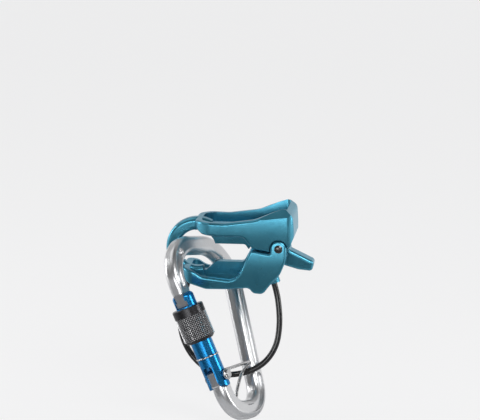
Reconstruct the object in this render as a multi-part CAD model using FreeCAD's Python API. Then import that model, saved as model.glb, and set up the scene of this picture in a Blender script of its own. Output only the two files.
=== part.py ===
import FreeCAD, Part
import math
import os
from FreeCAD import Placement, Rotation, Vector

# Belay device with a hinged lever, its keeper cable and its screw gate carabiner.
# Millimetres, +Z up. The device stands upright with its plates parallel to the XZ plane.
# The origin is the middle of the carabiner's small basket, where a harness loop sits.

# Driving dimensions of the belay device
device_reach = 58.0          # centre of the round window to the outside of the end wall
device_depth = 34.0          # over both outer walls
wall = 3.6                   # outer walls
rib = 5.0                    # middle rib between the two rope slots
end_wall = 4.2               # walls that close the rope slots
outer_edge_radius = 1.5
end_edge_radius = 1.0        # round the left ends, seen from above
corner_crossing = 0.15       # how far the plan's corners start outside the outer faces
window_radius = 10.95        # round part of the window, which holds the carabiner
loop_bar = 7.6               # height of the loop's bar
loop_depth = 8.0             # width of the loop's bar
loop_edge_radius = 2.6
loop_tip_radius = 1.2
loop_start_angle = 62.0      # angles about the window's centre, from +X towards +Z
loop_tip_angle = 219.0
hook_tip_angle = 221.5
hook_end_angle = 286.0
lever_corner = 5.0           # upright outer corners at the end wall
lever_left_corner_share = 0.3529412    # of device_depth
body_left_corner_share = 0.2352941
body_left_reach_share = 0.1379310      # of device_reach, centre of the window to the left end
lever_left_reach_share = 0.0172414
lever_left_corner = lever_left_corner_share * device_depth
body_left_corner = body_left_corner_share * device_depth
body_left_reach = body_left_reach_share * device_reach
lever_left_reach = lever_left_reach_share * device_reach
slot_corner = 2.4
rib_foot = 5.4               # thickness of the lower rib's foot
hub_radius = 5.4
ear_radius = 4.9
hinge_gap = 0.5              # round the ears and the hub
side_gap = 0.3               # beside the hub, between the ears
horn_depth = 10.8
horn_edge_radius = 2.0
horn_side_gap = 0.9

# Hinge pin
pin_radius = 2.0
pin_head_radius = 2.45
pin_head_sink = 1.0
pin_dome = 0.9

# Driving dimensions of the carabiner
carabiner_length = 112.0
bar_height = 10.8            # frame bar, in the plane of the carabiner
bar_thickness = 8.8          # frame bar, across the plane
bar_edge_radius = 3.2
groove_width = 5.0
groove_depth = 1.7
groove_corner = 0.7

# Gate of the carabiner
gate_length_share = 0.469643 # of carabiner_length, rivet to the open end
gate_length = gate_length_share * carabiner_length
gate_radius = 6.4
gate_lean = 13.4             # to the carabiner's long axis
gate_end_gap = 0.4
gate_end_radius = 2.2
tang_thickness = 5.4
fork_gap = 0.15
fork_slot_height = 7.4       # above the rivet
cheek_gap = 0.6
rivet_radius = 1.6
rivet_head_radius = 2.5
rivet_head_height = 0.9
rivet_seat_depth = 0.8
key_head_width = 7.8
key_head_height = 2.8
key_neck_width = 6.2
key_depth = 7.0              # how far the nose reaches into the gate
key_half_width = 4.6
key_gap = 0.25

# Parts on and in the gate
sleeve_radius = 9.4
sleeve_length = 21.1
sleeve_bottom = 23.3         # above the rivet, as photographed
sleeve_chamfer = 1.8
sleeve_rim = 0.5
stop_wire_radius = 0.5
stop_wire_height = 13.3      # above the rivet
stop_wire_leg = 14.0
stop_wire_sink = 0.6         # how deep the leg lies in the barrel
plunger_radius = 1.9
plunger_length = 8.0
plunger_tip_gap = 0.12
spring_wire_radius = 0.35
spring_coil_radius = 1.45
spring_turns = 9
gate_bore_depth = 30.0       # above the rivet
keeper_wire_radius = 0.95
keeper_eye_gap = 0.07
keeper_hole_radius = 1.3     # dimple in the frame below the keeper bar's foot
keeper_hole_reach = 2.0

# Keeper cable
cable_radius = 1.75
ferrule_radius = 2.6
ferrule_length = 4.6
ferrule_recess = 0.8
boss_radius = 3.9            # round each cable end
cable_run_share = 0.45       # how much of a run each of its arcs takes

# Fits
running_gap = 0.05
wire_gap = 0.1
overrun = 20.0               # how far a cut runs past what it cuts
nearly_zero = 1e-6

# Outlines of the device, as shares of device_reach: across, up, corner radius
pin_place_shares = (0.848, 0.0655)
lever_wall_shares = (
    (-0.020, 0.321, 0.040), (0.293, 0.312, 0.420), (0.603, 0.355, 0.260), (0.793, 0.434, 0.170),
    (0.908, 0.474, 0.055), (0.988, 0.400, 0.075), (1.003, 0.190, 0.075), (0.958, 0.078, 0.030),
    (0.759, 0.030, 0.018), (0.586, 0.055, 0.026), (0.490, 0.179, 0.070), (0.224, 0.174, 0.350),
    (0.072, 0.193, 0.060), (-0.020, 0.252, 0.040),
)
# across, in from the outer face, up: two points on the face and one on the top
rim_bevel_shares = ((0.569, 0.0, 0.348), (0.931, 0.0, 0.390), (0.931, 0.052, 0.464))
lever_rib_shares = (
    (-0.030, 0.190, 0.020), (-0.030, 0.270, 0.020), (0.400, 0.262, 0.200), (0.952, 0.300, 0.020),
    (0.952, 0.080, 0.020), (0.850, 0.032, 0.020), (0.560, 0.056, 0.010), (0.522, -0.002, 0.008),
    (0.488, 0.052, 0.040), (0.150, 0.052, 0.040),
)
horn_shares = (
    (0.862, 0.110, 0.020), (0.950, 0.010, 0.060), (1.187, -0.105, 0.036), (1.170, -0.203, 0.036),
    (1.030, -0.190, 0.200), (0.853, -0.140, 0.030), (0.790, -0.010, 0.030),
)
body_wall_shares = (
    (-0.150, -0.150, 0.030), (-0.020, -0.190, 0.060), (0.060, -0.240, 0.150), (0.380, -0.274, 0.110),
    (0.466, -0.185, 0.120), (0.532, -0.022, 0.160), (0.569, 0.045, 0.030), (0.7635, 0.010, 0.012),
    (0.7635, 0.150, 0.080), (0.9325, 0.150, 0.080), (0.922, -0.060, 0.200), (0.862, -0.205, 0.200),
    (0.765, -0.310, 0.200), (0.690, -0.408, 0.065), (0.590, -0.400, 0.060), (0.548, -0.346, 0.060),
    (0.330, -0.366, 0.500), (0.110, -0.369, 0.150), (-0.060, -0.315, 0.100), (-0.150, -0.230, 0.050),
)
body_rib_shares = (
    (-0.040, -0.230, 0.020), (0.090, -0.226, 0.040), (0.190, -0.131, 0.060), (0.472, -0.131, 0.050),
    (0.530, -0.020, 0.060), (0.560, 0.035, 0.010), (0.705, 0.010, 0.020), (0.712, -0.290, 0.020),
    (0.650, -0.370, 0.030), (0.520, -0.335, 0.030), (0.060, -0.340, 0.030), (-0.040, -0.300, 0.030),
)
body_foot_shares = (
    (-0.040, -0.252, 0.015), (0.110, -0.262, 0.050), (0.450, -0.262, 0.030), (0.450, -0.340, 0.020),
    (0.060, -0.344, 0.020), (-0.040, -0.315, 0.020),
)
ramp_shares = (
    (0.405, -0.262, 0.012), (0.466, -0.185, 0.100), (0.532, -0.022, 0.140), (0.569, 0.040, 0.015),
    (0.620, 0.034, 0.015), (0.585, -0.050, 0.140), (0.520, -0.200, 0.100), (0.460, -0.290, 0.012),
)
back_wall_shares = (
    (0.9325, -0.010, 0.015), (0.922, -0.060, 0.200), (0.862, -0.205, 0.200), (0.765, -0.310, 0.200),
    (0.690, -0.404, 0.060), (0.600, -0.396, 0.020), (0.600, -0.345, 0.020), (0.675, -0.345, 0.030),
    (0.800, -0.200, 0.180), (0.858, -0.060, 0.180), (0.864, -0.010, 0.015),
)
horn_notch_low_share = -0.285

# Centre lines of the carabiner, as shares of carabiner_length: across, along, corner radius
frame_line_shares = (
    (-0.2636, 0.1795, 0.0), (-0.3000, 0.3438, 0.160), (-0.1607, 0.4536, 0.196), (0.3000, 0.4510, 0.223),
    (0.1950, -0.4500, 0.152), (-0.1161, -0.4500, 0.134),
)
rivet_place_shares = (-0.1580, -0.2634)
tang_end_offset_shares = (0.0214, 0.0)
tang_shoulder_shares = ((-0.0420, 0.0), (0.0, 0.0355))    # from the rivet, in the gate's axes
nose_taper_shares = (0.0295, 0.0800)                      # half width at the gate, and the taper's length
spine_groove_shares = ((0.2752, 0.215, 0.0), (0.2205, -0.205, 0.0))
bend_groove_shares = ((0.2122, -0.285, 0.0), (0.1950, -0.4500, 0.152), (0.0300, -0.4500, 0.0))
nose_groove_shares = ((-0.2180, 0.4084, 0.0), (-0.3000, 0.3438, 0.160), (-0.2770, 0.2360, 0.0))
# across, along, towards the front face, corner radius
keeper_route_shares = (
    (-0.1580, -0.2397, 0.0660, 0.0), (0.1357, -0.2045, 0.0437, 0.020), (0.1536, -0.2027, 0.0411, 0.0098),
    (0.1571, -0.2161, 0.0304, 0.0098), (0.1214, -0.2277, 0.0268, 0.030), (0.0500, -0.2643, 0.0268, 0.180),
    (-0.0130, -0.3455, 0.0143, 0.180), (-0.0365, -0.3862, 0.0098, 0.0),
)

# Middle of the small basket
basket_shares = (0.0380, -0.3975)

# How the carabiner hangs in the device: its point in the middle of the window, and its turn
window_point_shares = (-0.0134847, 0.4374939, 0.0222249)  # across, along, towards the front face
carabiner_turn = 65.2
carabiner_pitch = 10.5
carabiner_roll = -24.6

# Route of the keeper cable's centre line, from the left end of the body to its right end
cable_points = (
    Vector(-4.7, 0.0, -15.4), Vector(-6.9, -1.2, -24.6), Vector(-9.3, -4.6, -33.0),
    Vector(-10.0, -9.0, -44.4), Vector(-6.2, -13.9, -56.0), Vector(2.2, -18.0, -66.0),
    Vector(14.6, -17.4, -73.0), Vector(28.1, -10.1, -73.6), Vector(40.1, -8.8, -67.9),
    Vector(47.3, -7.2, -57.4), Vector(49.0, -4.6, -45.0), Vector(48.2, -2.4, -33.6),
    Vector(46.4, -0.6, -24.4), Vector(43.4, 0.0, -15.2),
)


def corner_arc(before, corner, after, radius):
    """Start, middle and end of the arc that rounds a corner."""
    back = (before - corner).normalize()
    ahead = (after - corner).normalize()
    half = back.getAngle(ahead) / 2
    reach = radius / math.tan(half)
    bisector = (back + ahead).normalize()
    middle = corner + bisector * (radius / math.sin(half) - radius)
    return corner + back * reach, middle, corner + ahead * reach


def add_line(edges, start, end):
    if (end - start).Length > nearly_zero:
        edges.append(Part.LineSegment(start, end).toShape())


def route_wire(points, radii):
    """Straight runs joined by tangent arcs; the first and last radius aren't used."""
    edges = []
    last = points[0]
    for before, corner, after, radius in zip(points, points[1:], points[2:], radii[1:]):
        start, middle, end = corner_arc(before, corner, after, radius)
        add_line(edges, last, start)
        edges.append(Part.Arc(start, middle, end).toShape())
        last = end
    add_line(edges, last, points[-1])
    return Part.Wire(edges)


def closed_face(points, radii):
    """A flat face whose corners are rounded."""
    edges = []
    count = len(points)
    arcs = [corner_arc(points[i - 1], points[i], points[(i + 1) % count], radii[i]) for i in range(count)]
    for i in range(count):
        start, middle, end = arcs[i]
        edges.append(Part.Arc(start, middle, end).toShape())
        add_line(edges, end, arcs[(i + 1) % count][0])
    return Part.Face(Part.Wire(edges))


def device_face(shares):
    points = [Vector(across * device_reach, 0, up * device_reach) for across, up, radius in shares]
    radii = [radius * device_reach for across, up, radius in shares]
    return closed_face(points, radii)


def across_depth(face, low, high):
    """Extrude a face of the XZ plane from y = low to y = high."""
    face.translate(Vector(0, low, 0))
    return face.extrude(Vector(0, high - low, 0))


def rod(radius, start, end):
    return Part.makeCylinder(radius, (end - start).Length, start, end - start)


def block(low, high):
    return Part.makeBox(high.x - low.x, high.y - low.y, high.z - low.z, low)


def seen_from_above(left, right, depth, left_corner, right_corner):
    """An upright prism whose plan is a rectangle with rounded corners."""
    half = depth / 2
    points = [Vector(left, -half, -device_reach), Vector(right, -half, -device_reach),
              Vector(right, half, -device_reach), Vector(left, half, -device_reach)]
    face = closed_face(points, [left_corner, right_corner, right_corner, left_corner])
    return face.extrude(Vector(0, 0, device_reach + device_reach))


def rounded(solid, radius, keep=lambda edge: True):
    return solid.makeFillet(radius, [edge for edge in solid.Edges if keep(edge)])


def flat_in_y(edge):
    """Whether an edge lies in one upright plane parallel to the plates."""
    box = edge.BoundBox
    return box.YMax - box.YMin < nearly_zero * device_reach


def ring_bar(start_angle, end_angle, tip_angle):
    """A stretch of the ring round the window, with rounded edges and a rounded tip."""
    middle = window_radius + loop_bar / 2
    low_r, high_r = middle - loop_bar / 2, middle + loop_bar / 2
    half = loop_depth / 2
    points = [Vector(low_r, -half, 0), Vector(high_r, -half, 0),
              Vector(high_r, half, 0), Vector(low_r, half, 0)]
    face = closed_face(points, [loop_edge_radius] * len(points))
    face.rotate(Vector(), Vector(0, -1, 0), start_angle)
    bar = face.revolve(Vector(), Vector(0, -1, 0), end_angle - start_angle)
    across_tip = Rotation(Vector(0, -1, 0), tip_angle).multVec(Vector(0, 0, 1))
    rims = [edge for edge in bar.Edges if abs(edge.CenterOfMass.dot(across_tip)) < nearly_zero * device_reach
            and edge.CenterOfMass.cross(across_tip).y < 0]
    return bar.makeFillet(loop_tip_radius, rims)


pin_place = Vector(pin_place_shares[0] * device_reach, 0, pin_place_shares[1] * device_reach)
inner_half = device_depth / 2 - wall


def pin_cylinder(radius, low, high):
    return rod(radius, pin_place + Vector(0, low, 0), pin_place + Vector(0, high, 0))


def hollow_shell(shares, left, left_corner, right, right_corner):
    """Two outer walls joined by rounded ends, from an outline and a plan."""
    half = device_depth / 2
    slab = across_depth(device_face(shares), -half, half)
    slab = rounded(slab, outer_edge_radius, flat_in_y)
    plan_depth = device_depth + 2 * corner_crossing
    shell = slab.common(seen_from_above(left, right, plan_depth, left_corner, right_corner))

    def on_left_end(edge):
        box = edge.BoundBox
        upright = max(box.XLength, box.YLength) < nearly_zero * device_reach
        inside = abs(box.Center.y) < half - end_edge_radius / 3
        return not upright and inside and box.XMax < left + left_corner + end_edge_radius / 3

    return rounded(shell, end_edge_radius, on_left_end)


def rim_bevel(side):
    """What the tapered bevel along the top of an outer wall takes away."""
    half = device_depth / 2
    start, end, inner = [Vector(across * device_reach, side * (half - inward * device_reach), up * device_reach)
                         for across, inward, up in rim_bevel_shares]
    normal = (end - start).cross(inner - start)
    if normal.z < 0:
        normal = -normal
    cutter = block(Vector(-device_reach, -device_reach, 0), Vector(device_reach, device_reach, overrun))
    cutter.Placement = Placement(start, Rotation(Vector(0, 0, 1), normal))
    return cutter


def make_lever():
    """Upper piece: walls, middle rib, loop, hub and horn in one forging."""
    shell = hollow_shell(lever_wall_shares, -lever_left_reach, lever_left_corner, device_reach, lever_corner)
    slots = seen_from_above(end_wall - lever_left_reach, device_reach - end_wall, 2 * inner_half,
                            lever_left_corner - end_wall, slot_corner)
    lever = shell.cut(slots).cut(rim_bevel(-1)).cut(rim_bevel(1))
    ears = pin_cylinder(ear_radius + hinge_gap, -overrun, overrun)
    lever = lever.cut(ears)
    lever = lever.fuse(across_depth(device_face(lever_rib_shares), -rib / 2, rib / 2))
    hub_half = inner_half - side_gap
    lever = lever.fuse(pin_cylinder(hub_radius, -hub_half, hub_half))
    horn = across_depth(device_face(horn_shares), -horn_depth / 2, horn_depth / 2)
    lever = lever.fuse(rounded(horn, horn_edge_radius, flat_in_y))
    window = rod(window_radius, Vector(0, -overrun, 0), Vector(0, overrun, 0))
    lever = lever.cut(window)
    lever = lever.fuse(ring_bar(loop_start_angle, loop_tip_angle, loop_tip_angle))
    lever = lever.cut(pin_cylinder(pin_radius + running_gap, -overrun, overrun))
    return lever.removeSplitter()


cable_ends = ((cable_points[0], cable_points[1]), (cable_points[-1], cable_points[-2]))


def make_body():
    """Lower piece: walls, ears, middle rib, ramp, back wall and hook."""
    right = device_reach + overrun
    shell = hollow_shell(body_wall_shares, -body_left_reach, body_left_corner, right, lever_corner)
    slots = seen_from_above(end_wall - body_left_reach, right, 2 * inner_half,
                            body_left_corner - end_wall, slot_corner)
    body = shell.cut(slots)
    overlap = wall / 2
    body = body.fuse(across_depth(device_face(body_rib_shares), -rib / 2, rib / 2))
    body = body.fuse(across_depth(device_face(body_foot_shares), -rib_foot / 2, rib_foot / 2))
    body = body.fuse(across_depth(device_face(ramp_shares), -inner_half - overlap, inner_half + overlap))
    back = across_depth(device_face(back_wall_shares), -inner_half - overlap, inner_half + overlap)
    notch_half = horn_depth / 2 + horn_side_gap
    notch_low = horn_notch_low_share * device_reach
    notch = block(Vector(0, -notch_half, notch_low), Vector(device_reach + overrun, notch_half, device_reach))
    body = body.fuse(back.cut(notch))
    body = body.cut(pin_cylinder(hub_radius + hinge_gap, -inner_half, inner_half))
    body = body.fuse(ring_bar(hook_tip_angle, hook_end_angle, hook_tip_angle))
    body = body.cut(pin_bore())
    for end, ahead in cable_ends:
        outward = (ahead - end).normalize()
        body = body.fuse(rod(boss_radius, end, end + outward * (ferrule_length + ferrule_recess)))
    for end, ahead in cable_ends:
        outward = (ahead - end).normalize()
        body = body.cut(rod(ferrule_radius, end, end + outward * overrun / 2))
    return body.removeSplitter()


def pin_bore():
    half = device_depth / 2
    bore = pin_cylinder(pin_radius, -half - overrun, half + overrun)
    for side in (-1, 1):
        low, high = sorted((side * (half - pin_head_sink), side * (half + overrun)))
        bore = bore.fuse(pin_cylinder(pin_head_radius, low, high))
    return bore


def make_pin():
    """Hinge pin with a domed head at each end, riveted into the ears."""
    half = device_depth / 2
    pin = pin_cylinder(pin_radius, -half, half)
    dome_sphere = (pin_head_radius ** 2 + pin_dome ** 2) / (2 * pin_dome)
    for side in (-1, 1):
        face = pin_place + Vector(0, side * half, 0)
        head = rod(pin_head_radius, face - Vector(0, side * pin_head_sink, 0), face)
        ball = Part.makeSphere(dome_sphere, face - Vector(0, side * (dome_sphere - pin_dome), 0))
        dome = ball.common(rod(pin_head_radius, face, face + Vector(0, side * overrun, 0)))
        pin = pin.fuse(head).fuse(dome)
    return pin.removeSplitter()


def make_ferrule(end, ahead):
    outward = (ahead - end).normalize()
    sleeve = rod(ferrule_radius, end, end + outward * ferrule_length)
    return sleeve.cut(rod(cable_radius, end - outward * overrun, end + outward * overrun))


def make_cable():
    """The coated cable as straight runs joined by tangent arcs."""
    radii = [0.0]
    for before, corner, after in zip(cable_points, cable_points[1:], cable_points[2:]):
        turn = (corner - before).getAngle(after - corner)
        shorter = min((corner - before).Length, (after - corner).Length)
        radii.append(cable_run_share * shorter / math.tan(turn / 2))
    radii.append(0.0)
    wire = route_wire(cable_points, radii)
    tube = pipe_along(wire, cable_radius, cable_points[0], cable_points[1] - cable_points[0])
    print("cable radii", [round(radius, 1) for radius in radii[1:-1]])
    print("cable length", round(wire.Length, 2), "volume", round(tube.Volume, 1), "section times length",
          round(math.pi * cable_radius ** 2 * wire.Length, 1))
    return tube


def pipe_along(wire, radius, start, direction):
    circle = Part.Wire([Part.makeCircle(radius, start, direction)])
    return wire.makePipeShell([circle], True, True)


# The carabiner is made in its own axes: X across from gate to spine, Z along, -Y its front face

def along_carabiner(across, along, front=0.0):
    return Vector(across * carabiner_length, -front * carabiner_length, along * carabiner_length)


rivet_place = along_carabiner(*rivet_place_shares)
tang_end = rivet_place + along_carabiner(*tang_end_offset_shares)
gate_placement = Placement(rivet_place, Rotation(Vector(0, 1, 0), -gate_lean))
carabiner_rotation = Rotation(carabiner_turn, carabiner_pitch, carabiner_roll)
carabiner_place = -carabiner_rotation.multVec(along_carabiner(*window_point_shares))
carabiner_placement = Placement(carabiner_place, carabiner_rotation)


def frame_route(shares):
    points = [along_carabiner(across, along) for across, along, radius in shares]
    radii = [radius * carabiner_length for across, along, radius in shares]
    return points, radii


def cross_section(point, ahead, width, thickness, corner):
    """A rounded rectangle that stands across a route at one of its ends."""
    ahead = (ahead - point).normalize()
    side = Vector(0, 1, 0).cross(ahead) * (width / 2)
    front = Vector(0, thickness / 2, 0)
    corners = [point - side - front, point + side - front, point + side + front, point - side + front]
    return closed_face(corners, [corner] * len(corners))


def groove(shares):
    """A round ended channel, as deep in the front face as in the back one."""
    points, radii = frame_route(shares)
    channels = []
    for face_y in (-bar_thickness / 2, bar_thickness / 2):
        line = [point + Vector(0, face_y, 0) for point in points]
        section = cross_section(line[0], line[1], groove_width, 2 * groove_depth, groove_corner)
        channel = route_wire(line, radii).makePipeShell([section.OuterWire], True, False)
        for end in (line[0], line[-1]):
            half = Vector(0, groove_depth, 0)
            cap = rod(groove_width / 2, end - half, end + half)
            rims = [edge for edge in cap.Edges if flat_in_y(edge)]
            channel = channel.fuse(cap.makeFillet(groove_corner, rims))
        channels.append(channel)
    return channels[0].fuse(channels[1])


def key_profile(gap, inner_reach, outer_reach):
    """The nose's T shaped key as rings about the rivet, in the gate's axes."""
    top = gate_length + overrun
    head_low = gate_length - key_depth
    head_high = head_low + key_head_height
    neck = (key_neck_width / 2 + gap, head_high - running_gap, top)
    head = (key_head_width / 2 + gap, head_low - gap, head_high + gap)
    outer_angle = math.degrees(math.asin((outer_reach + gap) / gate_length))
    inner_angle = math.degrees(math.asin((inner_reach + gap) / gate_length))
    shapes = []
    for half, low, high in (neck, head):
        points = [Vector(0, -half, low), Vector(0, half, low), Vector(0, half, high), Vector(0, -half, high)]
        face = Part.Face(Part.makePolygon(points + points[:1]))
        face.rotate(Vector(), Vector(0, 1, 0), -outer_angle)
        shapes.append(face.revolve(Vector(), Vector(0, 1, 0), outer_angle + inner_angle))
    return shapes[0].fuse(shapes[1])


def tang_shoulder():
    """The square shoulder of the tang, seen between the gate's cheeks."""
    low = -bar_height / 2
    left = tang_shoulder_shares[0][0] * carabiner_length
    high = tang_shoulder_shares[1][1] * carabiner_length
    half = tang_thickness / 2
    shoulder = block(Vector(left, -half, low), Vector(0, half, high))
    upright_rims = [edge for edge in shoulder.Edges if edge.BoundBox.YLength > half and edge.BoundBox.XMax < 0]
    shoulder = shoulder.makeFillet(gate_end_radius / 2, upright_rims)
    shoulder.Placement = gate_placement
    return shoulder


def nose_taper():
    """Wedges that narrow the nose on both sides towards the gate."""
    low = gate_length - running_gap
    high = low + nose_taper_shares[1] * carabiner_length
    half = nose_taper_shares[0] * carabiner_length
    wedges = []
    for side in (-1, 1):
        left = -overrun / 2
        points = [Vector(left, side * half, low), Vector(left, side * bar_thickness / 2, high),
                  Vector(left, side * bar_thickness, high), Vector(left, side * bar_thickness, low)]
        face = Part.Face(Part.makePolygon(points + points[:1]))
        wedges.append(face.extrude(Vector(overrun, 0, 0)))
    return wedges[0].fuse(wedges[1])


def make_frame():
    """Forged frame: bar with grooves, key at the nose, tang for the gate."""
    points, radii = frame_route(frame_line_shares)
    points.append(tang_end)
    radii.append(0.0)
    section = cross_section(points[0], points[1], bar_height, bar_thickness, bar_edge_radius)
    bar = route_wire(points, radii).makePipeShell([section.OuterWire], True, False)
    knuckle = Vector(0, tang_thickness / 2, 0)
    bar = bar.fuse(rod(bar_height / 2, tang_end - knuckle, tang_end + knuckle))
    bar = bar.fuse(tang_shoulder())
    for shares in (spine_groove_shares, bend_groove_shares, nose_groove_shares):
        bar = bar.cut(groove(shares))
    cheek_low = tang_thickness / 2
    cheek_room = rod(gate_radius + cheek_gap, Vector(0, cheek_low, 0), Vector(0, overrun, 0))
    cheek_room = cheek_room.fuse(rod(gate_radius + cheek_gap, Vector(0, -overrun, 0), Vector(0, -cheek_low, 0)))
    half = gate_radius + overrun / 2
    box = block(Vector(-half, -overrun, 0), Vector(half, overrun, overrun))
    tang_box = block(Vector(-overrun, -cheek_low, -overrun), Vector(overrun, cheek_low, overrun / 2))
    cheek_room = cheek_room.fuse(box).cut(tang_box)
    nose_low = Vector(-overrun, -overrun, gate_length / 2)
    nose_room = block(nose_low, Vector(overrun, overrun, gate_length + gate_end_gap))
    for room in (cheek_room, nose_room, nose_taper()):
        room.Placement = gate_placement
        bar = bar.cut(room)
    key = key_profile(0.0, key_half_width, key_half_width)
    key_top = Vector(0, 0, gate_length + gate_end_gap + bar_edge_radius)
    key = key.common(rod(gate_radius - fork_gap, Vector(), key_top))
    key.Placement = gate_placement
    frame = bar.fuse(key)
    rivet_hole = rod(rivet_radius, Vector(0, -overrun, 0), Vector(0, overrun, 0))
    rivet_hole.Placement = gate_placement
    frame = frame.cut(rivet_hole)
    points, radii = keeper_route()
    inward = (points[-1] - points[-2]).normalize()
    dimple = rod(keeper_hole_radius, points[-1], points[-1] + inward * keeper_hole_reach)
    return frame.cut(dimple).removeSplitter()


def make_gate():
    """Round gate, forked at both ends, bored for plunger and spring."""
    barrel = rod(gate_radius, Vector(0, 0, -gate_radius), Vector(0, 0, gate_length))
    ends = rod(gate_radius, Vector(0, -gate_radius, 0), Vector(0, gate_radius, 0))
    ends = ends.fuse(block(Vector(-overrun, -overrun, 0), Vector(overrun, overrun, gate_length + overrun)))
    gate = barrel.common(ends)
    top = [edge for edge in gate.Edges if edge.BoundBox.ZMin > gate_length - gate_end_radius]
    gate = gate.makeFillet(gate_end_radius, top)
    half = tang_thickness / 2 + fork_gap
    gate = gate.cut(block(Vector(-overrun, -half, -overrun), Vector(overrun, half, fork_slot_height)))
    gate = gate.cut(key_profile(key_gap, key_half_width, overrun))
    gate = gate.cut(rod(plunger_radius + running_gap, Vector(), Vector(0, 0, gate_bore_depth)))
    gate = gate.cut(rod(rivet_radius + running_gap, Vector(0, -overrun, 0), Vector(0, overrun, 0)))
    for side in (-1, 1):
        seat = Vector(0, side * (gate_radius - rivet_seat_depth), 0)
        gate = gate.cut(rod(rivet_head_radius + wire_gap, seat, Vector(0, side * overrun, 0)))
    ring = Part.makeTorus(gate_radius, stop_wire_radius + running_gap, Vector(0, 0, stop_wire_height))
    gate = gate.cut(ring)
    gate = gate.cut(stop_wire_channel(stop_wire_radius + running_gap))
    return gate.removeSplitter()


def stop_wire_channel(radius):
    """The straight leg of the stop wire, on the barrel's back side."""
    depth = gate_radius - stop_wire_sink
    low = Vector(0, depth, stop_wire_height)
    return rod(radius, low, low + Vector(0, 0, stop_wire_leg))


def make_stop_wire():
    ring = Part.makeTorus(gate_radius, stop_wire_radius, Vector(0, 0, stop_wire_height))
    return ring.fuse(stop_wire_channel(stop_wire_radius)).removeSplitter()


def make_sleeve():
    low = Vector(0, 0, sleeve_bottom)
    high = low + Vector(0, 0, sleeve_length)
    sleeve = rod(sleeve_radius, low, high)
    bottom = [edge for edge in sleeve.Edges if edge.BoundBox.ZMax < sleeve_bottom + sleeve_rim]
    sleeve = sleeve.makeChamfer(sleeve_chamfer, bottom)
    top = [edge for edge in sleeve.Edges if edge.BoundBox.ZMin > sleeve_bottom + sleeve_length - sleeve_rim]
    sleeve = sleeve.makeChamfer(sleeve_rim, top)
    return sleeve.cut(rod(gate_radius + running_gap, low - Vector(0, 0, overrun), high + Vector(0, 0, overrun)))


def make_rivet():
    """Rivet through cheeks and tang; its front end also carries the keeper bar's eye."""
    seat = gate_radius - rivet_seat_depth
    eye_end = gate_radius + 2 * keeper_wire_radius + 2 * wire_gap
    rivet = rod(rivet_radius, Vector(0, -eye_end, 0), Vector(0, seat, 0))
    back_head = rod(rivet_head_radius, Vector(0, seat, 0), Vector(0, seat + rivet_head_height, 0))
    front_head = rod(rivet_head_radius, Vector(0, -eye_end, 0), Vector(0, -eye_end - rivet_head_height, 0))
    rim = rivet_head_height / 2
    back_head = back_head.makeFillet(rim, [edge for edge in back_head.Edges if edge.BoundBox.YMin > seat + rim])
    front_head = front_head.makeFillet(rim, [e for e in front_head.Edges if e.BoundBox.YMax < -eye_end - rim])
    return rivet.fuse(back_head).fuse(front_head).removeSplitter()


def tang_height_at_plunger(gap):
    """Height of the plunger's round tip centre above the rivet."""
    reach = bar_height / 2 + plunger_radius + gap
    offset = (tang_end - rivet_place).Length * math.cos(math.radians(gate_lean))
    rise = (tang_end - rivet_place).Length * math.sin(math.radians(gate_lean))
    return math.sqrt(reach ** 2 - offset ** 2) - rise


def make_plunger():
    centre = tang_height_at_plunger(plunger_tip_gap)
    body = rod(plunger_radius, Vector(0, 0, centre), Vector(0, 0, centre + plunger_length))
    return body.fuse(Part.makeSphere(plunger_radius, Vector(0, 0, centre))).removeSplitter()


def make_spring():
    """Coil spring between the plunger and the end of the bore."""
    low = tang_height_at_plunger(plunger_tip_gap) + plunger_length + spring_wire_radius + wire_gap
    high = gate_bore_depth - spring_wire_radius - wire_gap
    pitch = (high - low) / spring_turns
    helix = Part.makeHelix(pitch, high - low, spring_coil_radius)
    start = Vector(spring_coil_radius, 0, 0)
    circle = Part.Wire([Part.makeCircle(spring_wire_radius, start, Vector(0, 1, 0))])
    spring = Part.Wire([helix]).makePipeShell([circle], True, True)
    spring.translate(Vector(0, 0, low))
    return spring


def keeper_route():
    points = [along_carabiner(across, along, front) for across, along, front, radius in keeper_route_shares]
    radii = [radius * carabiner_length for across, along, front, radius in keeper_route_shares]
    return points, radii


def make_keeper_bar():
    """Bent wire with an eye round the rivet, closing off the small basket."""
    points, radii = keeper_route()
    eye_radius = rivet_radius + keeper_wire_radius + keeper_eye_gap
    eye_y = -gate_radius - keeper_wire_radius - wire_gap
    eye_centre = Vector(rivet_place.x, eye_y, rivet_place.z)
    points[0] = eye_centre + Vector(0, 0, eye_radius)
    wire = route_wire(points, radii)
    bar = pipe_along(wire, keeper_wire_radius, points[0], points[1] - points[0])
    eye = Part.makeTorus(eye_radius, keeper_wire_radius, eye_centre, Vector(0, 1, 0))
    return bar.fuse(eye).removeSplitter()


def in_row_frame(shape, *placements):
    """Carry a shape from its own axes to the origin at the small basket."""
    for placement in placements:
        shape.Placement = placement.multiply(shape.Placement)
    shape.translate(-origin_place)
    return shape


origin_place = carabiner_placement.multVec(along_carabiner(*basket_shares))


def export(name, shape, *placements):
    shape = in_row_frame(shape, *placements)
    solids = shape.Solids
    print(name, "solids", len(solids), "valid", shape.isValid(), "volume", round(shape.Volume, 1))
    shape.exportStep(f"parts/{name}.step")


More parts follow.
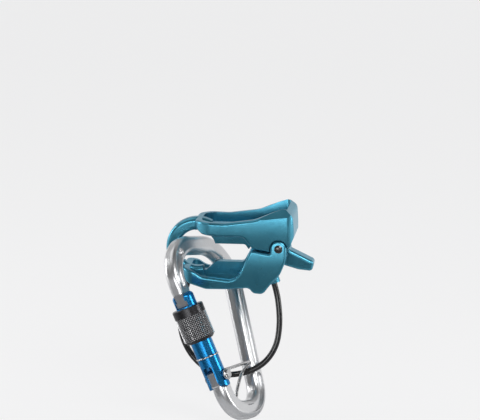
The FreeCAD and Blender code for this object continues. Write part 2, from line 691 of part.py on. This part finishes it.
os.makedirs("parts", exist_ok=True)
export("main_body", make_body())
export("release_lever", make_lever())
export("pivot_pin", make_pin())
export("keeper_cable", make_cable())
export("left_cable_ferrule", make_ferrule(cable_points[0], cable_points[1]))
export("right_cable_ferrule", make_ferrule(cable_points[-1], cable_points[-2]))
export("carabiner_frame", make_frame(), carabiner_placement)
export("gate_barrel", make_gate(), gate_placement, carabiner_placement)
export("gate_rivet", make_rivet(), gate_placement, carabiner_placement)
export("gate_plunger", make_plunger(), gate_placement, carabiner_placement)
export("gate_spring", make_spring(), gate_placement, carabiner_placement)
export("sleeve_stop_wire", make_stop_wire(), gate_placement, carabiner_placement)
export("locking_sleeve", make_sleeve(), gate_placement, carabiner_placement)
export("keeper_bar", make_keeper_bar(), carabiner_placement)
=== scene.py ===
import math

import bmesh
import bpy
from mathutils import Matrix, Vector


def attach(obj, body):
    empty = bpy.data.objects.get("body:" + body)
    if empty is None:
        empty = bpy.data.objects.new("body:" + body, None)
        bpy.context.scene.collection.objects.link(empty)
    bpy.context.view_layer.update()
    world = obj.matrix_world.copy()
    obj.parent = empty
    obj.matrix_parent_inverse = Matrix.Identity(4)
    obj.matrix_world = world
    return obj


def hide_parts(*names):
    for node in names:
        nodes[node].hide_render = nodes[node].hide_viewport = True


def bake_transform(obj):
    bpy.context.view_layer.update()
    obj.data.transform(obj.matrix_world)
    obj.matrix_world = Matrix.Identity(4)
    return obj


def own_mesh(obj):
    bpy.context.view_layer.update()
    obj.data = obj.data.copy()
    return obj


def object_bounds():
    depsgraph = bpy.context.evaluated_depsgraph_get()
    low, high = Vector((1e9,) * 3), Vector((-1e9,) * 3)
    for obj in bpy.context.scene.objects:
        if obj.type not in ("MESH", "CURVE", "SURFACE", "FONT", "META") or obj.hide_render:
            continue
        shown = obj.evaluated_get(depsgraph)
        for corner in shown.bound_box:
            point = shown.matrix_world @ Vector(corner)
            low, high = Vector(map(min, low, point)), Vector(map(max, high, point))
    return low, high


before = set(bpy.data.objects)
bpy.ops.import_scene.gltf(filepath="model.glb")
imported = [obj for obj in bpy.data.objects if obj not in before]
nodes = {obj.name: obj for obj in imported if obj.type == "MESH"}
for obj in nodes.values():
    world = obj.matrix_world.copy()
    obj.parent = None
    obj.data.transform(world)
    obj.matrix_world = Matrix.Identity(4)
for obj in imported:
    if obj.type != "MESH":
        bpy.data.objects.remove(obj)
cad_low, cad_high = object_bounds()
mm = 0.001

# Places and directions in the row's frame
window_centre = Vector((-29.085, 24.471, 85.677)) * mm
rivet_centre = Vector((-13.685, -14.712, 17.428)) * mm
gate_axis = Vector((-0.395573, 0.109323, 0.911905)).normalized()
carabiner_up = Vector((-0.308389, 0.325024, 0.894011)).normalized()


# ---------------------------------------------------------------- camera

photo_azimuth = math.radians(6.5)
photo_elevation = math.radians(12.6)
pixels_per_mm = 1.7
photo_width, photo_height = 480, 420
window_pixel = (198, 247)
camera_lens = 250.0
sensor_width = 36.0
nearest_seen = 0.05
furthest_seen = 20


def add_camera():
    """A long lens that sees the middle of the device's window at its pixel of the photo."""
    towards_camera = Vector((math.sin(photo_azimuth) * math.cos(photo_elevation),
                             -math.cos(photo_azimuth) * math.cos(photo_elevation),
                             math.sin(photo_elevation)))
    right = Vector((math.cos(photo_azimuth), math.sin(photo_azimuth), 0))
    up = towards_camera.cross(right)
    aim = window_centre
    aim = aim + right * (photo_width / 2 - window_pixel[0]) / pixels_per_mm * mm
    aim = aim + up * (window_pixel[1] - photo_height / 2) / pixels_per_mm * mm
    seen_width = photo_width / pixels_per_mm * mm
    data = bpy.data.cameras.new("camera")
    data.lens = camera_lens
    data.sensor_width = sensor_width
    data.clip_start = nearest_seen
    data.clip_end = furthest_seen
    camera = bpy.data.objects.new("camera", data)
    bpy.context.scene.collection.objects.link(camera)
    camera.location = aim + towards_camera * (seen_width * camera_lens / sensor_width)
    camera.rotation_mode = "QUATERNION"
    camera.rotation_quaternion = (-towards_camera).to_track_quat("-Z", "Y")
    bpy.context.scene.camera = camera


add_camera()


# ---------------------------------------------------------------- material steps

def new_material(name):
    material = bpy.data.materials.new(name)
    material.use_nodes = True
    tree = material.node_tree
    return material, tree, tree.nodes["Principled BSDF"]


def object_coordinates(tree, turn=(0, 0, 0), stretch=(1, 1, 1)):
    """Object coordinates, turned and stretched for a pattern that runs one way."""
    place = tree.nodes.new("ShaderNodeTexCoord")
    mapping = tree.nodes.new("ShaderNodeMapping")
    mapping.inputs["Rotation"].default_value = turn
    mapping.inputs["Scale"].default_value = stretch
    tree.links.new(place.outputs["Object"], mapping.inputs["Vector"])
    return mapping.outputs["Vector"]


def turn_to(axis):
    """Mapping turn that lays a direction of the object along the pattern's Z."""
    return axis.rotation_difference(Vector((0, 0, 1))).to_euler()


def separate(tree, vector):
    """The X, Y and Z values of a vector."""
    node = tree.nodes.new("ShaderNodeSeparateXYZ")
    tree.links.new(vector, node.inputs["Vector"])
    return node.outputs["X"], node.outputs["Y"], node.outputs["Z"]


def noise(tree, vector, scale, detail, distortion=0.0):
    texture = tree.nodes.new("ShaderNodeTexNoise")
    texture.inputs["Scale"].default_value = scale
    texture.inputs["Detail"].default_value = detail
    texture.inputs["Distortion"].default_value = distortion
    tree.links.new(vector, texture.inputs["Vector"])
    return texture.outputs["Fac"]


def spread(tree, value, low, high, to_low, to_high):
    """Carry a value from one range to another."""
    node = tree.nodes.new("ShaderNodeMapRange")
    node.inputs["From Min"].default_value = low
    node.inputs["From Max"].default_value = high
    node.inputs["To Min"].default_value = to_low
    node.inputs["To Max"].default_value = to_high
    tree.links.new(value, node.inputs["Value"])
    return node.outputs["Result"]


def calculate(tree, operation, first, second=None):
    """One step of arithmetic on a value and a number or another value."""
    node = tree.nodes.new("ShaderNodeMath")
    node.operation = operation
    for socket, value in zip(node.inputs, (first, second)):
        if isinstance(value, bpy.types.NodeSocket):
            tree.links.new(value, socket)
        elif value is not None:
            socket.default_value = value
    return node.outputs["Value"]


def colours(tree, value, stops):
    """Colour a value by a ramp of positions and colours."""
    ramp = tree.nodes.new("ShaderNodeValToRGB")
    ends = ramp.color_ramp.elements
    for element, (position, colour) in zip(ends, (stops[0], stops[-1])):
        element.position = position
        element.color = (*colour, 1)
    for position, colour in stops[1:-1]:
        ends.new(position).color = (*colour, 1)
    tree.links.new(value, ramp.inputs["Fac"])
    return ramp.outputs["Color"]


def bump(tree, height, strength, distance, under=None):
    """Normal of a surface with a raised pattern, which may lie on a coarser bump."""
    node = tree.nodes.new("ShaderNodeBump")
    if under:
        tree.links.new(under, node.inputs["Normal"])
    node.inputs["Strength"].default_value = strength
    node.inputs["Distance"].default_value = distance
    tree.links.new(height, node.inputs["Height"])
    return node.outputs["Normal"]


def set_surface(tree, shader, colour, metallic, roughness, normal):
    tree.links.new(colour, shader.inputs["Base Color"])
    shader.inputs["Metallic"].default_value = metallic
    tree.links.new(roughness, shader.inputs["Roughness"])
    tree.links.new(normal, shader.inputs["Normal"])


# ---------------------------------------------------------------- materials

crown_reach = 9.0 * mm                        # a crowned face bends this far, then runs straight
crown_slope = 0.17
lever_crown = window_centre.z + 16 * mm
body_crown = window_centre.z - 3 * mm


def crown(tree, vector, middle):
    """Height of a face that is crowned about a level and runs straight further out."""
    level = separate(tree, vector)[2]
    above = calculate(tree, "DIVIDE", calculate(tree, "SUBTRACT", level, middle), crown_reach)
    square = calculate(tree, "MULTIPLY", above, above)
    rounded = calculate(tree, "SQRT", calculate(tree, "ADD", square, 1.0))
    return calculate(tree, "SUBTRACT", 1.0, rounded)


def teal_anodised(name, crown_middle):
    """Bead blasted and anodised forging: crowned faces, fine grain, soft clouds, faint scuffs."""
    material, tree, shader = new_material(name)
    vector = object_coordinates(tree)
    clouds = noise(tree, vector, scale=90, detail=4)
    dye = colours(tree, clouds, [(0.30, (0.074, 0.325, 0.455)), (0.55, (0.084, 0.355, 0.490)),
                                 (0.80, (0.098, 0.390, 0.530))])
    scuffs_vector = object_coordinates(tree, stretch=(1, 1, 3))
    scuffs = noise(tree, scuffs_vector, scale=420, detail=5, distortion=1.2)
    roughness = spread(tree, scuffs, 0.35, 0.70, to_low=0.33, to_high=0.27)
    crown_height = crown(tree, vector, crown_middle)
    swell = bump(tree, crown_height, strength=1.0, distance=crown_reach * crown_slope)
    grain = noise(tree, vector, scale=3200, detail=2)
    relief = bump(tree, grain, strength=0.30, distance=0.05 * mm, under=swell)
    set_surface(tree, shader, dye, metallic=0.9, roughness=roughness, normal=relief)
    return material


def silver_forging():
    """Tumbled and polished aluminium: satin, with fine marks along the bar."""
    material, tree, shader = new_material("silver_forging")
    marks_vector = object_coordinates(tree, turn_to(carabiner_up), stretch=(1, 1, 0.10))
    marks = noise(tree, marks_vector, scale=1500, detail=3, distortion=0.3)
    colour = colours(tree, marks, [(0.30, (0.735, 0.74, 0.75)), (0.70, (0.785, 0.79, 0.80))])
    smear = noise(tree, object_coordinates(tree), scale=90, detail=3, distortion=0.5)
    roughness = spread(tree, smear, 0.30, 0.75, to_low=0.34, to_high=0.28)
    relief = bump(tree, marks, strength=0.03, distance=0.01 * mm)
    set_surface(tree, shader, colour, metallic=1.0, roughness=roughness, normal=relief)
    return material


def blue_anodised():
    """Turned and bright anodised tube: fine rings from the lathe under the dye."""
    material, tree, shader = new_material("blue_anodised")
    rings_vector = object_coordinates(tree, turn_to(gate_axis), stretch=(0.05, 0.05, 1))
    rings = noise(tree, rings_vector, scale=2600, detail=2)
    clouds = noise(tree, object_coordinates(tree), scale=140, detail=3)
    dye = colours(tree, clouds, [(0.30, (0.016, 0.225, 0.530)), (0.75, (0.022, 0.258, 0.590))])
    roughness = spread(tree, rings, 0.30, 0.70, to_low=0.28, to_high=0.24)
    relief = bump(tree, rings, strength=0.03, distance=0.01 * mm)
    set_surface(tree, shader, dye, metallic=0.92, roughness=roughness, normal=relief)
    return material


def gunmetal_knurl():
    """Dark anodised sleeve whose knurl is bright at its points, as worn bare metal and as a
    painted highlight, and darkest in its grooves as painted shade.
    """
    material, tree, shader = new_material("gunmetal_knurl")
    height = tree.nodes.new("ShaderNodeAttribute")
    height.attribute_name = "knurl_height"
    # Painted light: coloured by knurl height, near white at the points as worn metal and painted
    # highlight, near black in the grooves as painted shade.
    worn_points_and_painted_light = colours(tree, height.outputs["Fac"],
                     [(0.0, (0.014, 0.014, 0.016)), (0.22, (0.095, 0.095, 0.100)),
                      (0.50, (0.720, 0.720, 0.735)), (1.0, (0.950, 0.950, 0.960))])
    rings_vector = object_coordinates(tree, turn_to(gate_axis), stretch=(0.06, 0.06, 1))
    rings = noise(tree, rings_vector, scale=4200, detail=2)
    roughness = spread(tree, rings, 0.30, 0.70, to_low=0.36, to_high=0.25)
    relief = bump(tree, rings, strength=0.10, distance=0.03 * mm)
    set_surface(tree, shader, worn_points_and_painted_light, metallic=0.95, roughness=roughness, normal=relief)
    return material


def drawn_wire():
    """Stainless spring wire: bright, with drawing marks."""
    material, tree, shader = new_material("drawn_wire")
    marks = noise(tree, object_coordinates(tree, stretch=(1, 1, 0.3)), scale=2600, detail=3)
    colour = colours(tree, marks, [(0.30, (0.50, 0.505, 0.51)), (0.70, (0.68, 0.68, 0.685))])
    roughness = spread(tree, marks, 0.30, 0.70, to_low=0.26, to_high=0.16)
    relief = bump(tree, marks, strength=0.08, distance=0.02 * mm)
    set_surface(tree, shader, colour, metallic=1.0, roughness=roughness, normal=relief)
    return material


def dark_pin_steel():
    """Blackened rivet steel with a worn dome."""
    material, tree, shader = new_material("dark_pin_steel")
    vector = object_coordinates(tree)
    stains = noise(tree, vector, scale=900, detail=4)
    colour = colours(tree, stains, [(0.30, (0.085, 0.085, 0.090)), (0.70, (0.190, 0.188, 0.185))])
    roughness = spread(tree, stains, 0.30, 0.70, to_low=0.32, to_high=0.20)
    grain = noise(tree, vector, scale=5000, detail=2)
    relief = bump(tree, grain, strength=0.10, distance=0.02 * mm)
    set_surface(tree, shader, colour, metallic=1.0, roughness=roughness, normal=relief)
    return material


def black_cable_coat():
    """Glossy extruded plastic over the wire rope, with faint ripples and dust."""
    material, tree, shader = new_material("black_cable_coat")
    vector = object_coordinates(tree)
    dust = noise(tree, vector, scale=700, detail=5)
    colour = colours(tree, dust, [(0.35, (0.006, 0.006, 0.007)), (0.80, (0.022, 0.022, 0.023))])
    roughness = spread(tree, dust, 0.30, 0.75, to_low=0.16, to_high=0.30)
    ripples = noise(tree, vector, scale=380, detail=2)
    relief = bump(tree, ripples, strength=0.15, distance=0.10 * mm)
    set_surface(tree, shader, colour, metallic=0.0, roughness=roughness, normal=relief)
    shader.inputs["Coat Weight"].default_value = 0.2
    shader.inputs["Coat Roughness"].default_value = 0.08
    return material


lever_teal = teal_anodised("lever_teal", lever_crown)
body_teal = teal_anodised("body_teal", body_crown)
silver = silver_forging()
blue = blue_anodised()
gunmetal = gunmetal_knurl()
wire = drawn_wire()
dark_steel = dark_pin_steel()
cable_coat = black_cable_coat()

node_finishes = {
    "main_body": body_teal,
    "release_lever": lever_teal,
    "pivot_pin": dark_steel,
    "left_cable_ferrule": dark_steel,
    "right_cable_ferrule": dark_steel,
    "carabiner_frame": silver,
    "gate_barrel": blue,
    "gate_rivet": wire,
    "gate_plunger": wire,
    "sleeve_stop_wire": wire,
    "keeper_bar": wire,
}
for node, finish in node_finishes.items():
    mesh = nodes[node].data
    mesh.materials.clear()
    mesh.materials.append(finish)


# ---------------------------------------------------------------- mesh steps

upright = Vector((0, 0, 1))


def add_mesh(name, shape, material, smooth):
    """Add an object that holds a built shape, with its faces turned outwards."""
    bmesh.ops.recalc_face_normals(shape, faces=shape.faces[:])
    data = bpy.data.meshes.new(name)
    shape.to_mesh(data)
    shape.free()
    if smooth:
        data.shade_smooth()
    data.materials.append(material)
    made = bpy.data.objects.new(name, data)
    bpy.context.scene.collection.objects.link(made)
    return made


def lay_on_gate(shape, height):
    """Move a shape that stands on Z to a height along the gate, above its rivet."""
    stand = upright.rotation_difference(gate_axis).to_matrix().to_4x4()
    place = Matrix.Translation(rivet_centre + gate_axis * height) @ stand
    bmesh.ops.transform(shape, matrix=place, verts=shape.verts[:])


def spin_round(shape, angle, rise, steps, closed=False):
    """Spin all of a shape round the Z axis, with a rise at each step."""
    bmesh.ops.spin(shape, geom=shape.verts[:] + shape.edges[:], cent=(0, 0, 0), axis=upright,
                   dvec=(0, 0, rise), angle=angle, steps=steps, use_merge=closed)


# ---------------------------------------------------------------- keeper cable

cable_diameter = 3.5 * mm
cable_steps_per_point = 16
cable_order = 3                               # of its spline
cable_roundness = 8                           # steps in a quarter of its section
cable_route_mm = (
    (-4.7, 0.0, -15.4), (-6.9, -1.2, -24.6), (-9.3, -4.6, -33.0), (-10.0, -9.0, -44.4),
    (-6.2, -13.9, -56.0), (2.2, -18.0, -66.0), (14.6, -17.4, -73.0), (28.1, -10.1, -73.6),
    (40.1, -8.8, -67.9), (47.3, -7.2, -57.4), (49.0, -4.6, -45.0), (48.2, -2.4, -33.6),
    (46.4, -0.6, -24.4), (43.4, 0.0, -15.2),
)


def make_keeper_cable():
    """The cable hangs from the device, and its lowest part stays with the carabiner at a tilt."""
    route = [window_centre + Vector(point) * mm for point in cable_route_mm]
    data = bpy.data.curves.new("cable_line", "CURVE")
    data.dimensions = "3D"
    data.resolution_u = cable_steps_per_point
    spline = data.splines.new("NURBS")
    spline.points.add(len(route) - 1)
    for point, place in zip(spline.points, route):
        point.co = (*place, 1)
    spline.order_u = cable_order
    spline.use_endpoint_u = True
    line = bpy.data.objects.new("cable_line", data)
    centre_line = bpy.data.meshes.new_from_object(line)
    data.bevel_depth = cable_diameter / 2
    data.bevel_resolution = cable_roundness
    data.use_fill_caps = True
    tube = bmesh.new()
    tube.from_mesh(bpy.data.meshes.new_from_object(line))
    bpy.data.objects.remove(line)
    bmesh.ops.remove_doubles(tube, verts=tube.verts[:], dist=cable_diameter / 1000)
    cable = add_mesh("coated_keeper_cable", tube, cable_coat, smooth=True)
    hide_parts("keeper_cable")
    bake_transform(cable)


make_keeper_cable()


# ---------------------------------------------------------------- knurled sleeve

sleeve_bottom = 23.3 * mm                     # along the gate, from its rivet
sleeve_length = 21.1 * mm
sleeve_radius = 9.4 * mm
sleeve_bore = 6.45 * mm                       # its radius
sleeve_chamfer = 1.8 * mm
sleeve_rim = 0.5 * mm
knurl_low = 2.0 * mm
knurl_high = 15.9 * mm
knurl_run_out = 0.12 * mm
knurl_depth = 0.42 * mm
knurl_count = 36
knurl_rows = 9
steps_per_diamond = 8
plain_height = 0.12                           # shade of the plain bands
tolerance = sleeve_rim / 100


def wave(value):
    """Triangle wave from 0 in the middle of a diamond to 1 in the groove beside it."""
    return abs(value - math.floor(value + 0.5)) * 2


def make_knurled_sleeve():
    """The profile is spun into a tube, and the knurl is pressed into its band."""
    profile = [
        (sleeve_bore, 0),
        (sleeve_radius - sleeve_chamfer, 0),
        (sleeve_radius, sleeve_chamfer),
        (sleeve_radius, knurl_low - knurl_run_out),
        (sleeve_radius, knurl_low),
        (sleeve_radius, knurl_high),
        (sleeve_radius, knurl_high + knurl_run_out),
        (sleeve_radius, sleeve_length - sleeve_rim),
        (sleeve_radius - sleeve_rim, sleeve_length),
        (sleeve_bore, sleeve_length),
    ]
    shape = bmesh.new()
    corners = [shape.verts.new((radius, 0, height)) for radius, height in profile]
    edges = [shape.edges.new((corners[i], corners[i - 1])) for i in range(len(corners))]
    band_ends = {corners[profile.index((sleeve_radius, height))]
                 for height in (knurl_low, knurl_high)}
    band = next(edge for edge in edges if set(edge.verts) == band_ends)
    bmesh.ops.subdivide_edges(shape, edges=[band], cuts=knurl_rows * steps_per_diamond - 1)
    spin_round(shape, 2 * math.pi, 0, knurl_count * steps_per_diamond, closed=True)
    bmesh.ops.remove_doubles(shape, verts=shape.verts[:], dist=tolerance)
    height_layer = shape.verts.layers.float.new("knurl_height")
    for vertex in shape.verts:
        vertex[height_layer] = plain_height
        on_band = knurl_low - tolerance < vertex.co.z < knurl_high + tolerance
        if not on_band or Vector(vertex.co.xy).length < sleeve_radius - tolerance:
            continue
        around = math.atan2(vertex.co.y, vertex.co.x) / (2 * math.pi) * knurl_count
        along = (vertex.co.z - knurl_low) / (knurl_high - knurl_low) * knurl_rows
        groove = max(wave(around + along), wave(around - along))
        vertex[height_layer] = 1 - groove
        vertex.co.xy *= 1 - knurl_depth * groove / sleeve_radius
    lay_on_gate(shape, sleeve_bottom)
    sleeve = add_mesh("knurled_sleeve", shape, gunmetal, smooth=False)
    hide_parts("locking_sleeve")
    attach(sleeve, "sleeve")


make_knurled_sleeve()


# ---------------------------------------------------------------- gate spring

spring_low = 14.94 * mm                       # along the gate, from its rivet
spring_high = 29.55 * mm
spring_coil_radius = 1.45 * mm
spring_wire_radius = 0.35 * mm
spring_wire_sides = 10
spring_turns = 9
steps_per_turn = 24


def make_gate_spring():
    """A wire section spun up the coil; in the real gate the coil shortens as the plunger pushes
    it.
    """
    height = spring_high - spring_low
    steps = spring_turns * steps_per_turn
    shape = bmesh.new()
    stand = Matrix.Translation((spring_coil_radius, 0, 0)) @ Matrix.Rotation(math.pi / 2, 4, "X")
    bmesh.ops.create_circle(shape, segments=spring_wire_sides, radius=spring_wire_radius,
                            matrix=stand)
    spin_round(shape, 2 * math.pi * spring_turns, height / steps, steps)
    bmesh.ops.holes_fill(shape, edges=[edge for edge in shape.edges if edge.is_boundary])
    lay_on_gate(shape, spring_low)
    spring = add_mesh("coiled_gate_spring", shape, wire, smooth=True)
    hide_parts("gate_spring")
    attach(spring, "gate")
    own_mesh(spring)


make_gate_spring()


# ---------------------------------------------------------------- floor

matt = 0.9                                    # roughness of the floor and the flag
floor_white = (0.80, 0.80, 0.81)
floor_glow = (0.965, 0.965, 0.970)
floor_glow_share = 0.85
floor_reach = 6.0
bend_start = 1.2                              # where the floor turns up behind the object
bend_radius = 1.0
bend_steps = 10
glow_near, glow_far = 0.08, 0.42              # reflections see none of it nearer, all further off
glow_low, glow_high = 0.6, 1.2                # and all of it lower, and less of it higher up
high_glow_share = 0.35
flag_grey = (0.190, 0.192, 0.200)
flag_width = 0.50
flag_depth = 0.26
flag_middle_y = -0.18


def floor_material():
    """Pale and matt, with a glow that the camera sees, and reflections in part."""
    material, tree, shader = new_material("pale_floor")
    shader.inputs["Base Color"].default_value = (*floor_white, 1)
    shader.inputs["Roughness"].default_value = matt
    rays = tree.nodes.new("ShaderNodeLightPath")
    side, back, level = separate(tree, object_coordinates(tree))
    away = calculate(tree, "ADD", back, calculate(tree, "ABSOLUTE", side))
    far = spread(tree, away, glow_near, glow_far, to_low=0, to_high=1)
    low_part = spread(tree, level, glow_low, glow_high, to_low=1, to_high=high_glow_share)
    reflected = calculate(tree, "MULTIPLY", far, low_part)
    mirrored = calculate(tree, "MULTIPLY", rays.outputs["Is Glossy Ray"], reflected)
    either = calculate(tree, "MAXIMUM", rays.outputs["Is Camera Ray"], mirrored)
    seen = calculate(tree, "MULTIPLY", either, floor_glow_share)
    glow = tree.nodes.new("ShaderNodeEmission")
    glow.inputs["Color"].default_value = (*floor_glow, 1)
    mixed = tree.nodes.new("ShaderNodeMixShader")
    tree.links.new(seen, mixed.inputs["Fac"])
    tree.links.new(shader.outputs["BSDF"], mixed.inputs[1])
    tree.links.new(glow.outputs["Emission"], mixed.inputs[2])
    tree.links.new(mixed.outputs["Shader"], tree.nodes["Material Output"].inputs["Surface"])
    return material


def add_floor():
    """A pale floor that curves up into a backdrop."""
    low = cad_low.z
    angles = [math.pi / 2 * step / bend_steps for step in range(1, bend_steps + 1)]
    profile = [(-floor_reach, low), (bend_start, low)]
    profile += [(bend_start + bend_radius * math.sin(angle),
                 low + bend_radius * (1 - math.cos(angle))) for angle in angles]
    profile += [(bend_start + bend_radius, low + floor_reach)]
    shape = bmesh.new()
    line = [shape.verts.new((-floor_reach, y, z)) for y, z in profile]
    edges = [shape.edges.new(pair) for pair in zip(line, line[1:])]
    pulled = bmesh.ops.extrude_edge_only(shape, edges=edges)
    moved = [part for part in pulled["geom"] if isinstance(part, bmesh.types.BMVert)]
    bmesh.ops.translate(shape, vec=(2 * floor_reach, 0, 0), verts=moved)
    add_mesh("pale_floor", shape, floor_material(), smooth=True)


def add_flag():
    """A dark flag on the floor before the object, seen only in its reflections."""
    material, tree, shader = new_material("floor_flag")
    shader.inputs["Base Color"].default_value = (*flag_grey, 1)
    shader.inputs["Roughness"].default_value = matt
    shape = bmesh.new()
    bmesh.ops.create_grid(shape, x_segments=1, y_segments=1, size=0.5)
    bmesh.ops.scale(shape, vec=(flag_width, flag_depth, 1), verts=shape.verts[:])
    bmesh.ops.translate(shape, vec=(0, flag_middle_y, cad_low.z + 1 * mm), verts=shape.verts[:])
    flag = add_mesh("floor_flag", shape, material, smooth=False)
    flag.visible_camera = False
    flag.visible_diffuse = False
    flag.visible_shadow = False


add_floor()
add_flag()


# ---------------------------------------------------------------- light

world_grey = (0.10, 0.102, 0.105)
lamp_aim = Vector((0.0, 0.02, 0.05))
lamps = {                                     # place, width and height, watts
    "key_softbox": ((0.42, -0.60, 0.62), (0.45, 0.35), 3.0),
    "front_softbox": ((-0.20, -1.05, 0.20), (0.8, 0.24), 2.8),
    "top_softbox": ((-0.45, 0.05, 0.80), (0.8, 0.6), 1.2),
    "right_strip": ((0.75, 0.00, 0.24), (0.16, 0.4), 1.6),
    "left_strip": ((-0.75, 0.12, 0.24), (0.16, 0.4), 1.6),
}


def add_world():
    world = bpy.data.worlds.new("studio")
    world.use_nodes = True
    background = world.node_tree.nodes["Background"]
    background.inputs["Color"].default_value = (*world_grey, 1)
    background.inputs["Strength"].default_value = 1.0
    bpy.context.scene.world = world


def add_lamp(name, place, size, watts):
    """A rectangle of light that the camera doesn't see."""
    data = bpy.data.lights.new(name, "AREA")
    data.shape = "RECTANGLE"
    data.size, data.size_y = size
    data.energy = watts
    lamp = bpy.data.objects.new(name, data)
    bpy.context.scene.collection.objects.link(lamp)
    lamp.visible_camera = False
    lamp.location = place
    lamp.rotation_mode = "QUATERNION"
    lamp.rotation_quaternion = (lamp_aim - Vector(place)).to_track_quat("-Z", "Y")


add_world()
for name, (place, size, watts) in lamps.items():
    add_lamp(name, place, size, watts)

bpy.context.scene.view_settings.view_transform = "Standard"
